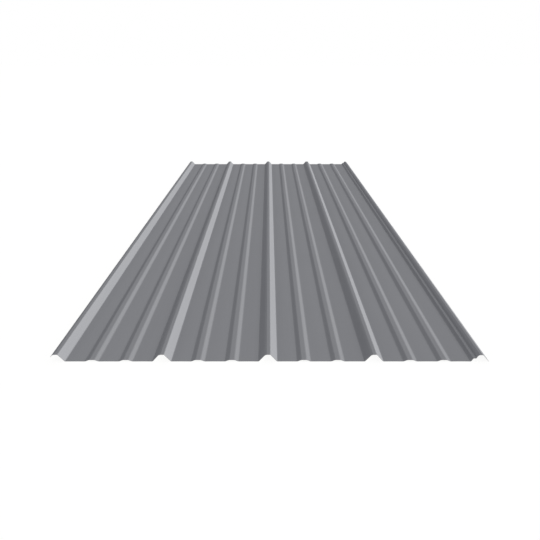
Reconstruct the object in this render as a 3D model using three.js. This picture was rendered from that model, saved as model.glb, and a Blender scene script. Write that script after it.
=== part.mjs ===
// Ribbed metal roofing sheet: one length of painted steel coil, roll-formed across its width.
// Five major ribs stand at an even pitch. Each pan between them has two low stiffening ribs.
// The first rib ends in a short lip and laps over the last rib of the sheet before it.
// The last rib is the one that lies under: it has a drip shoulder and a leg that bears on the purlin.
//
// Millimetres. +X runs across the sheet, +Y along the ribs, +Z up. The sheet lies on its pans,
// and the origin is under the middle of its box.

import * as THREE from 'three';

// The sheet
const SHEET_LENGTH = 2438.4;
const STEEL = 0.5; // with its zinc and paint
const RIB_PITCH = 228.6;
const PAN_COUNT = 4;

// Major ribs. All widths, heights and radii are those of the middle of the steel.
// A crown's two bends differ: one is soft and the other crisp.
const RIB_HEIGHT = 15.9;
const RIB_FOOT_WIDTH = 39.3;
const RIB_CROWN_WIDTH = 10.8;
const RIB_FOOT_RADIUS = 3.6;
const CROWN_SOFT_RADIUS = 7.8; // on the side towards the lip
const CROWN_CRISP_RADIUS = 2.5; // on the side towards the bearing leg

// Minor ribs, two in each pan and the same distance from its middle
const MINOR_HEIGHT = 3.4;
const MINOR_FOOT_WIDTH = 28.6;
const MINOR_CROWN_WIDTH = 11.6;
const MINOR_RADIUS = 9;
const MINOR_SPACING = 72.9;

// The side lap. The last rib goes under the first rib of the next sheet.
const LAP_CLEARANCE = 0.2;
const SHOULDER_HEIGHT = 7; // at its outer end
const SHOULDER_REACH = 1.8; // out past the line of a standard leg
const SHOULDER_WIDTH = 6.4;
const SHOULDER_RISE = 0.3;
const SHOULDER_RADIUS = 0.8;
const LIP_ABOVE_SHOULDER = 3.1;

const ARC_DIVISIONS = 3; // six facets to a bend

// The slope of a major rib's legs
const LEG_RUN = (RIB_FOOT_WIDTH - RIB_CROWN_WIDTH) / 2;
const LEG_ANGLE = Math.atan2(RIB_HEIGHT, LEG_RUN);

function corner(x, height, radius) {
  return { at: new THREE.Vector2(x, height), radius };
}

// How far a standard rib's leg is from the rib's centre at a height
function legLine(height) {
  return RIB_FOOT_WIDTH / 2 - height / Math.tan(LEG_ANGLE);
}

function minorRib(centre) {
  const foot = MINOR_FOOT_WIDTH / 2;
  const crown = MINOR_CROWN_WIDTH / 2;
  return [
    corner(centre - foot, 0, MINOR_RADIUS),
    corner(centre - crown, MINOR_HEIGHT, MINOR_RADIUS),
    corner(centre + crown, MINOR_HEIGHT, MINOR_RADIUS),
    corner(centre + foot, 0, MINOR_RADIUS),
  ];
}

function leftLeg(centre) {
  return [
    corner(centre - RIB_FOOT_WIDTH / 2, 0, RIB_FOOT_RADIUS),
    corner(centre - RIB_CROWN_WIDTH / 2, RIB_HEIGHT, CROWN_SOFT_RADIUS),
  ];
}

function rightLeg(centre) {
  return [
    corner(centre + RIB_CROWN_WIDTH / 2, RIB_HEIGHT, CROWN_CRISP_RADIUS),
    corner(centre + RIB_FOOT_WIDTH / 2, 0, RIB_FOOT_RADIUS),
  ];
}

// The first rib's outer leg is a short lip that stops above the shoulder of the rib under it
function overlapRib(centre) {
  const lipHeight = SHOULDER_HEIGHT + LIP_ABOVE_SHOULDER;
  return [
    corner(centre - legLine(lipHeight), lipHeight, 0),
    corner(centre - RIB_CROWN_WIDTH / 2, RIB_HEIGHT, CROWN_SOFT_RADIUS),
    ...rightLeg(centre),
  ];
}

// The last rib is a standard rib set inwards by one thickness of steel and the clearance, and
// its crown's bends are tighter by as much, so that the gap under the next sheet is even.
// Under that sheet's lip its inner leg steps out past a standard rib's leg line, and its outer
// leg ends at the level of the pans' underside.
function underlapRib(centre) {
  const inset = STEEL + LAP_CLEARANCE;
  const insetAcross = inset / Math.sin(LEG_ANGLE);
  const crownHeight = RIB_HEIGHT - inset;
  const crown = legLine(crownHeight) - insetAcross;
  const edgeHeight = (STEEL / 2) * (Math.cos(LEG_ANGLE) - 1);
  const edge = legLine(edgeHeight) - insetAcross;
  const shoulder = legLine(SHOULDER_HEIGHT) + SHOULDER_REACH;
  const nested = (radius) => Math.max(radius - inset, STEEL);
  return [
    corner(centre - RIB_FOOT_WIDTH / 2, 0, RIB_FOOT_RADIUS),
    corner(centre - shoulder, SHOULDER_HEIGHT, SHOULDER_RADIUS),
    corner(centre - shoulder + SHOULDER_WIDTH, SHOULDER_HEIGHT + SHOULDER_RISE, SHOULDER_RADIUS),
    corner(centre - crown, crownHeight, nested(CROWN_SOFT_RADIUS)),
    corner(centre + crown, crownHeight, nested(CROWN_CRISP_RADIUS)),
    corner(centre + edge, edgeHeight, 0),
  ];
}

// The middle of the steel from the lip to the bearing leg, with its sharp corners
function profile() {
  const corners = [];
  for (let pan = 0; pan < PAN_COUNT; pan += 1) {
    const rib = pan * RIB_PITCH;
    const middle = rib + RIB_PITCH / 2;
    corners.push(...(pan === 0 ? overlapRib(rib) : [...leftLeg(rib), ...rightLeg(rib)]));
    corners.push(...minorRib(middle - MINOR_SPACING / 2));
    corners.push(...minorRib(middle + MINOR_SPACING / 2));
  }
  corners.push(...underlapRib(PAN_COUNT * RIB_PITCH));
  return corners;
}

function leftOf(direction) {
  return new THREE.Vector2(-direction.y, direction.x);
}

// The bend at one corner, as the arc that the middle of the steel follows
function bend(before, here, after) {
  const arriving = here.at.clone().sub(before.at).normalize();
  const leaving = after.at.clone().sub(here.at).normalize();
  const turn = Math.sign(arriving.cross(leaving));
  const setback = here.radius * Math.tan(arriving.angleTo(leaving) / 2);
  const start = here.at.clone().addScaledVector(arriving, -setback);
  const centre = start.clone().addScaledVector(leftOf(arriving), turn * here.radius);
  return {
    centre,
    turn,
    radius: here.radius,
    from: leftOf(arriving).multiplyScalar(-turn).angle(),
    to: leftOf(leaving).multiplyScalar(-turn).angle(),
  };
}

// The closed outline of the steel: its upper face one way, and its lower face back
function steelSection(corners) {
  const last = corners.length - 1;
  const bends = [];
  for (let i = 1; i < last; i += 1) {
    bends.push(bend(corners[i - 1], corners[i], corners[i + 1]));
  }
  const firstEdge = leftOf(corners[1].at.clone().sub(corners[0].at).normalize());
  const lastEdge = leftOf(corners[last].at.clone().sub(corners[last - 1].at).normalize());
  const half = STEEL / 2;
  const edgePoint = (end, across, side) => end.at.clone().addScaledVector(across, side);

  const section = new THREE.Shape();
  section.moveTo(...edgePoint(corners[0], firstEdge, -half).toArray());
  section.lineTo(...edgePoint(corners[0], firstEdge, half).toArray());
  for (const { centre, turn, radius, from, to } of bends) {
    section.absarc(centre.x, centre.y, radius - turn * half, from, to, turn < 0);
  }
  section.lineTo(...edgePoint(corners[last], lastEdge, half).toArray());
  section.lineTo(...edgePoint(corners[last], lastEdge, -half).toArray());
  for (const { centre, turn, radius, from, to } of bends.toReversed()) {
    section.absarc(centre.x, centre.y, radius + turn * half, to, from, turn > 0);
  }
  return section;
}

const sheetForm = new THREE.ExtrudeGeometry(steelSection(profile()), {
  depth: SHEET_LENGTH,
  curveSegments: ARC_DIVISIONS,
  bevelEnabled: false,
});

const paintedSteel = new THREE.MeshStandardMaterial({
  color: 0x7f8084,
  roughness: 0.5,
  metalness: 0,
});

// The section is drawn upright, so it is laid over to run along Y
sheetForm.rotateX(Math.PI / 2);
sheetForm.computeBoundingBox();
const { min, max } = sheetForm.boundingBox;

const sheet = new THREE.Mesh(sheetForm, paintedSteel);
sheet.name = 'ribbed_sheet';
sheet.position.set(-(min.x + max.x) / 2, -(min.y + max.y) / 2, -min.z);

const roofingSheet = new THREE.Group();
roofingSheet.add(sheet);

export default roofingSheet;
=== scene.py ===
import math

import bmesh
import bpy
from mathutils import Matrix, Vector


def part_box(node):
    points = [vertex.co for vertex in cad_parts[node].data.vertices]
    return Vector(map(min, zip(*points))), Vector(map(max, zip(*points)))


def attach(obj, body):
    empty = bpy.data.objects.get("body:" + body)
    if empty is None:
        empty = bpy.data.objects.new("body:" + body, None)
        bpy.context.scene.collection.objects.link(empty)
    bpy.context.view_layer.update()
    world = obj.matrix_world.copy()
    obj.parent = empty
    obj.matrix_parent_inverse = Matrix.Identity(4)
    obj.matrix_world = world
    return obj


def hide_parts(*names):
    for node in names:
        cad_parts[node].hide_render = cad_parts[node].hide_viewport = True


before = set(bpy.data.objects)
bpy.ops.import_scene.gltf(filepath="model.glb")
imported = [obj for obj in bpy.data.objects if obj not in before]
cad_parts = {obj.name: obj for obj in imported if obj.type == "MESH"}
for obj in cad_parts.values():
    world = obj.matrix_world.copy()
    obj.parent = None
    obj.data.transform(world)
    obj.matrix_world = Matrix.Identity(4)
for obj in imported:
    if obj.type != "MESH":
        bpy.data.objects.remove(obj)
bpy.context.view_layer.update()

# ---------------------------------------------------------------------------------------
# The sheet: one length of zinc-coated steel, painted grey on its weather side and backed
# with a thin pale wash coat. Rolls form the ribs along it, a stand at a time, and a shear
# cuts it square. Screws will hold it later, so it has no holes yet.
# ---------------------------------------------------------------------------------------

SHEET_LENGTH = 2.4384
STEEL = 0.0005
RIB_PITCH = 0.2286
PAN_COUNT = 4
SHEET_BOTTOM = STEEL / 2  # the middle of the steel in the pans

RIB_HEIGHT = 0.0159
RIB_FOOT = 0.0393 / 2
RIB_CROWN = 0.0108 / 2
FOOT_RADIUS = 0.0036
SOFT_RADIUS = 0.0078  # of the crown's bend towards the lip
CRISP_RADIUS = 0.0025  # of its bend towards the bearing leg
LEG_ANGLE = math.atan2(RIB_HEIGHT, RIB_FOOT - RIB_CROWN)

MINOR_HEIGHT = 0.0034
MINOR_FOOT = 0.0286 / 2
MINOR_CROWN = 0.0116 / 2
MINOR_RADIUS = 0.009
MINOR_SPACING = 0.0729

LAP_CLEARANCE = 0.0002
LAP_INSET = STEEL + LAP_CLEARANCE
SHOULDER_HEIGHT = 0.007
SHOULDER_REACH = 0.0018  # how far the shoulder stands out past a standard leg
SHOULDER_WIDTH = 0.0064
SHOULDER_RISE = 0.0003
SHOULDER_RADIUS = 0.0008
LIP_HEIGHT = SHOULDER_HEIGHT + 0.0031


def leg_line(height):
    """How far a standard rib's leg is from the rib's centre at a height."""
    return RIB_FOOT - height / math.tan(LEG_ANGLE)


def minor_rib(centre):
    return [
        (centre - MINOR_FOOT, 0, MINOR_RADIUS),
        (centre - MINOR_CROWN, MINOR_HEIGHT, MINOR_RADIUS),
        (centre + MINOR_CROWN, MINOR_HEIGHT, MINOR_RADIUS),
        (centre + MINOR_FOOT, 0, MINOR_RADIUS),
    ]


def section_corners():
    """The middle of the steel from the lip to the bearing leg: x, height and bend radius."""
    corners = [(-leg_line(LIP_HEIGHT), LIP_HEIGHT, 0)]
    for pan in range(PAN_COUNT):
        rib = pan * RIB_PITCH
        middle = rib + RIB_PITCH / 2
        if pan > 0:
            corners.append((rib - RIB_FOOT, 0, FOOT_RADIUS))
        corners += [
            (rib - RIB_CROWN, RIB_HEIGHT, SOFT_RADIUS),
            (rib + RIB_CROWN, RIB_HEIGHT, CRISP_RADIUS),
            (rib + RIB_FOOT, 0, FOOT_RADIUS),
        ]
        corners += minor_rib(middle - MINOR_SPACING / 2)
        corners += minor_rib(middle + MINOR_SPACING / 2)

    # The last rib is a standard one, set inwards so that the next sheet's first rib covers it
    last = PAN_COUNT * RIB_PITCH
    inset_across = LAP_INSET / math.sin(LEG_ANGLE)
    crown_height = RIB_HEIGHT - LAP_INSET
    crown = leg_line(crown_height) - inset_across
    edge_height = STEEL / 2 * (math.cos(LEG_ANGLE) - 1)
    edge = leg_line(edge_height) - inset_across
    shoulder = leg_line(SHOULDER_HEIGHT) + SHOULDER_REACH
    corners += [
        (last - RIB_FOOT, 0, FOOT_RADIUS),
        (last - shoulder, SHOULDER_HEIGHT, SHOULDER_RADIUS),
        (last - shoulder + SHOULDER_WIDTH, SHOULDER_HEIGHT + SHOULDER_RISE, SHOULDER_RADIUS),
        (last - crown, crown_height, SOFT_RADIUS - LAP_INSET),
        (last + crown, crown_height, CRISP_RADIUS - LAP_INSET),
        (last + edge, edge_height, 0),
    ]
    return corners


# The node's box starts at the lip's outer face, half a thickness out from the steel's middle
corners = section_corners()
lip_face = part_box("ribbed_sheet")[0].x
first_rib = lip_face + STEEL / 2 * math.sin(LEG_ANGLE) - corners[0][0]
path = [Vector((x + first_rib, 0, z + SHEET_BOTTOM)) for x, z, _ in corners]
radii = [radius for _, _, radius in corners]


def select_edges(piece, wanted):
    """Selects the edges that a test picks, and nothing else."""
    mesh = bmesh.from_edit_mesh(piece.data)
    for part in (*mesh.verts, *mesh.edges, *mesh.faces):
        part.select = False
    for edge in mesh.edges:
        if wanted(edge):
            edge.select_set(True)
    bmesh.update_edit_mesh(piece.data)


TOUCHING = 1e-5  # metres apart at most, and still the same place


def lengthwise(edge):
    a, b = (vertex.co for vertex in edge.verts)
    return abs(a.x - b.x) < TOUCHING and abs(a.z - b.z) < TOUCHING


def at_corner(edge, places):
    """Whether an edge runs the length of the sheet at one of these corners of its section."""
    a = edge.verts[0].co
    return lengthwise(edge) and any(
        math.dist((a.x, a.z), (place.x, place.z)) < TOUCHING for place in places
    )


# The blank starts as one strip, and each next flat is drawn out from its open edge
bpy.ops.object.select_all(action="DESELECT")
bpy.ops.mesh.primitive_plane_add(size=SHEET_LENGTH, calc_uvs=False, enter_editmode=True)
sheet = bpy.context.object
sheet.name = "painted_sheet"
left_edge = Vector((-SHEET_LENGTH / 2, 0, 0))
right_edge = Vector((SHEET_LENGTH / 2, 0, 0))
select_edges(sheet, lambda edge: at_corner(edge, [left_edge]))
bpy.ops.transform.translate(value=path[0] - left_edge)
select_edges(sheet, lambda edge: at_corner(edge, [right_edge]))
bpy.ops.transform.translate(value=path[1] - right_edge)
for here, after in zip(path[1:], path[2:]):
    bpy.ops.mesh.extrude_region_move(TRANSFORM_OT_translate={"value": after - here})

# The bends are made together where their radius and angle are the same
SHARP_BEND = 0.6
SHARP_BEND_FACETS = 8
SLIGHT_BEND_FACETS = 5
bends = {}
for before, here, after, radius in zip(path, path[1:], path[2:], radii[1:]):
    turn = (here - before).angle(after - here)
    bends.setdefault((radius, round(turn, 4)), []).append(here)
for (radius, turn), places in bends.items():
    select_edges(sheet, lambda edge: at_corner(edge, places))
    bpy.ops.mesh.bevel(
        offset=radius * math.tan(turn / 2),
        offset_type="OFFSET",
        segments=SHARP_BEND_FACETS if turn > SHARP_BEND else SLIGHT_BEND_FACETS,
        profile=0.5,
        affect="EDGES",
        clamp_overlap=False,
    )

# The pans' flats are cut finer across, and the whole blank along, so that they can buckle
CUTS_ALONG = 60
CUTS_ACROSS = 5
NARROWEST_FLAT = 0.03
select_edges(
    sheet,
    lambda edge: not lengthwise(edge) and edge.calc_length() > NARROWEST_FLAT,
)
bpy.ops.mesh.subdivide(number_cuts=CUTS_ACROSS)
select_edges(sheet, lengthwise)
bpy.ops.mesh.subdivide(number_cuts=CUTS_ALONG)
bpy.ops.object.mode_set(mode="OBJECT")

# Oil canning: each flat of a pan stands a little proud of true, unevenly along the sheet
OIL_CANNING = 0.00025
OIL_CAN_LENGTH = 0.26
flats = [
    (here.x, after.x)
    for here, after in zip(path, path[1:])
    if abs(after.z - here.z) < TOUCHING and after.x - here.x > NARROWEST_FLAT
]
pans = sheet.vertex_groups.new(name="pans")
for vertex in sheet.data.vertices:
    for low, high in flats:
        if low < vertex.co.x < high:
            share = (vertex.co.x - low) / (high - low)
            pans.add([vertex.index], math.sin(math.pi * share) ** 2, "REPLACE")
buckles = bpy.data.textures.new("buckles", "CLOUDS")
buckles.noise_scale = OIL_CAN_LENGTH
bpy.ops.object.modifier_add(type="DISPLACE")
displace = sheet.modifiers[-1]
displace.texture = buckles
displace.texture_coords = "LOCAL"
displace.direction = "Z"
displace.mid_level = 0
displace.strength = OIL_CANNING
displace.vertex_group = pans.name
bpy.ops.object.modifier_apply(modifier=displace.name)
sheet.vertex_groups.clear()


class Value:
    """One output of a node. Sums and products of it add the Math nodes that they need."""

    def __init__(self, shader, socket):
        self.shader = shader
        self.socket = socket

    def maths(self, operation, *others):
        terms = dict(enumerate((self, *others)))
        return self.shader.node("ShaderNodeMath", {"operation": operation}, terms)

    def __add__(self, other):
        return self.maths("ADD", other)

    def __sub__(self, other):
        return self.maths("SUBTRACT", other)

    def __rsub__(self, other):
        return self * -1 + other

    def __mul__(self, other):
        return self.maths("MULTIPLY", other)

    __radd__ = __add__
    __rmul__ = __mul__


class Shader:
    """The nodes of a material or of the room. One method adds any of them."""

    def __init__(self, owner):
        owner.use_nodes = True
        self.owner = owner
        self.tree = owner.node_tree
        self.tree.nodes.clear()

    def node(self, kind, settings=None, inputs=None, output=0):
        node = self.tree.nodes.new(kind)
        for name, value in (settings or {}).items():
            if name == "stops":
                stops = node.color_ramp.elements
                while len(stops) < len(value):
                    stops.new(1)
                for stop, (position, level) in zip(stops, value):
                    stop.position = position
                    stop.color = (level, level, level, 1)
            else:
                setattr(node, name, value)
        for name, value in (inputs or {}).items():
            if isinstance(value, Value):
                self.tree.links.new(value.socket, node.inputs[name])
            else:
                node.inputs[name].default_value = value
        if node.outputs:
            return Value(self, node.outputs[output])


def noise(shader, place, size, detail, stretch=(1, 1, 1)):
    """Noise with features about as large as the size, in metres, times the stretch."""
    scale = tuple(1 / (size * part) for part in stretch)
    grid = shader.node(
        "ShaderNodeMapping", {"vector_type": "POINT"}, {"Vector": place, "Scale": scale}
    )
    return shader.node(
        "ShaderNodeTexNoise", None, {"Vector": grid, "Scale": 1.0, "Detail": detail}
    )


def mix(shader, share, first, second):
    """The colour between two others."""
    colours = {0: share, 6: first, 7: second}  # a Mix node's factor and its colours A and B
    return shader.node("ShaderNodeMix", {"data_type": "RGBA"}, colours, output=2)


def bend_stops(spread):
    """Where the rolls bent the steel: stops from a rib's centre to the middle of its pan."""
    half_pitch = RIB_PITCH / 2
    minor = half_pitch - MINOR_SPACING / 2
    bend_places = (
        RIB_CROWN,
        RIB_FOOT,
        minor - MINOR_FOOT,
        minor - MINOR_CROWN,
        minor + MINOR_CROWN,
        minor + MINOR_FOOT,
    )
    stops = []
    for place in bend_places:
        for offset, level in ((-spread, 0), (0, 1), (spread, 0)):
            stops.append(((place + offset) / half_pitch, level))
    return stops


# The weather side: a grey topcoat with hardly any sheen. The roller coater left faint streaks
# along the coil and a fine orange peel. At the bends the paint was stretched, so it is a
# little chalkier, and the rolls burnished it.
DARK_GREY = (0.185, 0.189, 0.2045, 1)
LIGHT_GREY = (0.226, 0.230, 0.249, 1)
STRETCHED_GREY = (0.216, 0.220, 0.238, 1)
PEEL_DEPTH = 0.00006
topcoat = Shader(bpy.data.materials.new("grey_topcoat"))
where = topcoat.node("ShaderNodeTexCoord", output="Object")
across = topcoat.node("ShaderNodeSeparateXYZ", None, {"Vector": where}, output="X")
from_rib = (across - first_rib).maths("PINGPONG", RIB_PITCH / 2)
bent = topcoat.node(
    "ShaderNodeValToRGB",
    {"stops": bend_stops(spread=0.0025)},
    {"Fac": from_rib * (2 / RIB_PITCH)},
)
streaks = noise(topcoat, where, size=0.004, detail=2, stretch=(1, 160, 1))
clouds = noise(topcoat, where, size=0.35, detail=2)
grain = noise(topcoat, where, size=0.0007, detail=1)
orange_peel = noise(topcoat, where, size=0.0016, detail=3)
tone = mix(topcoat, 0.25 * streaks + 0.25 * clouds + 0.5 * grain, DARK_GREY, LIGHT_GREY)
paint = topcoat.node(
    "ShaderNodeBsdfPrincipled",
    None,
    {
        "Base Color": mix(topcoat, 0.35 * bent, tone, STRETCHED_GREY),
        "Roughness": 0.76 + 0.12 * streaks - 0.1 * bent,
        "Specular IOR Level": 0.04,
        "Normal": topcoat.node(
            "ShaderNodeBump",
            None,
            {"Height": orange_peel, "Strength": 1.0, "Distance": PEEL_DEPTH},
        ),
    },
)
topcoat.node("ShaderNodeOutputMaterial", None, {"Surface": paint})

# The back: a thin pale wash coat over the zinc, so a little of its spangle shows through
DARK_WASH = (0.34, 0.34, 0.325, 1)
LIGHT_WASH = (0.42, 0.42, 0.405, 1)
SPANGLES_PER_METRE = 300.0
backer = Shader(bpy.data.materials.new("pale_backer_coat"))
where = backer.node("ShaderNodeTexCoord", output="Object")
crystals = backer.node(
    "ShaderNodeTexVoronoi",
    {"feature": "F1"},
    {"Vector": where, "Scale": SPANGLES_PER_METRE},
    output="Color",
)
spangle = backer.node("ShaderNodeSeparateColor", None, {"Color": crystals}, output="Red")
streaks = noise(backer, where, size=0.006, detail=3, stretch=(1, 90, 1))
clouds = noise(backer, where, size=0.22, detail=3)
wash = backer.node(
    "ShaderNodeBsdfPrincipled",
    None,
    {
        "Base Color": mix(
            backer, 0.3 * streaks + 0.3 * clouds + 0.4 * spangle, DARK_WASH, LIGHT_WASH
        ),
        "Roughness": 0.42 + 0.16 * streaks + 0.14 * spangle,
        "Specular IOR Level": 0.25,
    },
)
backer.node("ShaderNodeOutputMaterial", None, {"Surface": wash})

# The cut edges: bare bright steel, with the shear's marks through the thickness
DARK_STEEL = (0.28, 0.28, 0.28, 1)
LIGHT_STEEL = (0.42, 0.42, 0.42, 1)
cut = Shader(bpy.data.materials.new("sheared_steel"))
where = cut.node("ShaderNodeTexCoord", output="Object")
marks = noise(cut, where, size=0.0004, detail=2, stretch=(1, 1, 12))
bare = cut.node(
    "ShaderNodeBsdfPrincipled",
    None,
    {
        "Base Color": mix(cut, marks, DARK_STEEL, LIGHT_STEEL),
        "Roughness": 0.32 + 0.2 * marks,
        "Metallic": 1.0,
    },
)
cut.node("ShaderNodeOutputMaterial", None, {"Surface": bare})

TOPCOAT, BACKER, CUT = 0, 1, 2
for shader in (topcoat, backer, cut):
    sheet.data.materials.append(shader.owner)

# The steel's thickness, with the weather side, the back and the cut edges in three finishes
bpy.ops.object.modifier_add(type="SOLIDIFY")
solidify = sheet.modifiers[-1]
solidify.thickness = STEEL
solidify.offset = 0
solidify.use_even_offset = True
solidify.material_offset = BACKER
solidify.material_offset_rim = CUT
bpy.ops.object.modifier_apply(modifier=solidify.name)

# The shear drew the paint over the upper corner of each cut
ROLLOVER = 0.0001
ROLLOVER_FACETS = 3
bpy.ops.object.mode_set(mode="EDIT")
select_edges(
    sheet,
    lambda edge: {face.material_index for face in edge.link_faces} == {TOPCOAT, CUT},
)
bpy.ops.mesh.bevel(
    offset=ROLLOVER, segments=ROLLOVER_FACETS, profile=0.5, affect="EDGES", material=TOPCOAT
)
bpy.ops.object.mode_set(mode="OBJECT")

SHARPEST_SMOOTH_EDGE = math.radians(35)
bpy.ops.object.shade_smooth_by_angle(angle=SHARPEST_SMOOTH_EDGE)
bpy.ops.object.modifier_add(type="WEIGHTED_NORMAL")
sheet.modifiers[-1].keep_sharp = True
bpy.ops.object.modifier_apply(modifier=sheet.modifiers[-1].name)
bpy.ops.object.transform_apply(location=True, rotation=True, scale=True)

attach(sheet, "root")
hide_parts("ribbed_sheet")

# ---------------------------------------------------------------------------------------
# The studio: a pale floor that the sheet lies on, a white room that lights it from all
# sides, and one low side light square to the ribs. The side light casts no shadow, so the
# ribs leave none on the pans. The floor keeps the soft shadow of the room's light.
# ---------------------------------------------------------------------------------------

FLOOR_SIZE = 60
FLOOR_SQUARES = 12  # each way. Over one large square the light breaks along its diagonal
FLOOR_GAP = 0.0001
bpy.ops.object.select_all(action="DESELECT")
bpy.ops.mesh.primitive_grid_add(
    x_subdivisions=FLOOR_SQUARES,
    y_subdivisions=FLOOR_SQUARES,
    size=FLOOR_SIZE,
    location=(0, 0, -FLOOR_GAP),
)
floor = bpy.context.object
floor.name = "studio_floor"

# It is white where the camera sees it, dimmer as a light on the sheet, and clear from below.
# A share of it glows, and the rest is lit and shaded as a painted floor is.
FLOOR_PAINT = (0.9, 0.9, 0.9, 1)
GLOW_LEVEL = 1.03
GLOW_SHARE = 0.35
MORE_GLOW_SEEN = 0.45
pale = Shader(bpy.data.materials.new("white_floor"))
seen = pale.node("ShaderNodeLightPath", output="Is Camera Ray")
back = pale.node("ShaderNodeNewGeometry", output="Backfacing")
lit = pale.node("ShaderNodeBsdfDiffuse", None, {"Color": FLOOR_PAINT})
glow = pale.node("ShaderNodeEmission", None, {"Color": (1, 1, 1, 1), "Strength": GLOW_LEVEL})
top = pale.node(
    "ShaderNodeMixShader", None, {0: GLOW_SHARE + MORE_GLOW_SEEN * seen, 1: lit, 2: glow}
)
clear = pale.node("ShaderNodeBsdfTransparent")
whole = pale.node("ShaderNodeMixShader", None, {0: back, 1: top, 2: clear})
pale.node("ShaderNodeOutputMaterial", None, {"Surface": whole})
floor.data.materials.append(pale.owner)

# The room lights the sheet at this level, and is white where it is seen or mirrored
AMBIENT = 0.72
room = Shader(bpy.data.worlds.new("studio"))
bpy.context.scene.world = room.owner
camera_ray = room.node("ShaderNodeLightPath", output="Is Camera Ray")
glossy_ray = room.node("ShaderNodeLightPath", output="Is Glossy Ray")
clear_ray = room.node("ShaderNodeLightPath", output="Is Transmission Ray")
shown = camera_ray.maths("MAXIMUM", glossy_ray).maths("MAXIMUM", clear_ray)
strength = AMBIENT + (1 - AMBIENT) * shown
light = room.node(
    "ShaderNodeBackground", None, {"Color": (1, 1, 1, 1), "Strength": strength}
)
room.node("ShaderNodeOutputWorld", None, {"Surface": light})

SIDE_LIGHT_HEIGHT = math.radians(10.2)
SIDE_LIGHT_SPREAD = math.radians(10)
SIDE_LIGHT_LEVEL = 1.65  # on a face square to it, where 1 renders a colour as it is written
SIDE_LIGHT_COLOUR = (1, 0.99, 0.945)
bpy.ops.object.light_add(type="SUN")
side_light = bpy.context.object
side_light.name = "side_light"
side_light.rotation_euler = (0, math.pi / 2 - SIDE_LIGHT_HEIGHT, 0)
side_light.data.energy = SIDE_LIGHT_LEVEL * math.pi
side_light.data.color = SIDE_LIGHT_COLOUR
side_light.data.angle = SIDE_LIGHT_SPREAD
side_light.data.use_shadow = False

# ---------------------------------------------------------------------------------------
# The camera, in front of the near end and looking down along the ribs
# ---------------------------------------------------------------------------------------

CAMERA_ACROSS = -0.0027
CAMERA_BEFORE_SHEET = 1.1482
CAMERA_HEIGHT = 0.6247
LOOK_DOWN = math.radians(19.88)
bpy.ops.object.camera_add(
    location=(CAMERA_ACROSS, -SHEET_LENGTH / 2 - CAMERA_BEFORE_SHEET, CAMERA_HEIGHT),
    rotation=(math.pi / 2 - LOOK_DOWN, 0, 0),
)
camera = bpy.context.object
camera.data.lens = 40
camera.data.sensor_width = 36
camera.data.shift_x = 0.0027
bpy.context.scene.camera = camera
bpy.context.scene.view_settings.view_transform = "Standard"
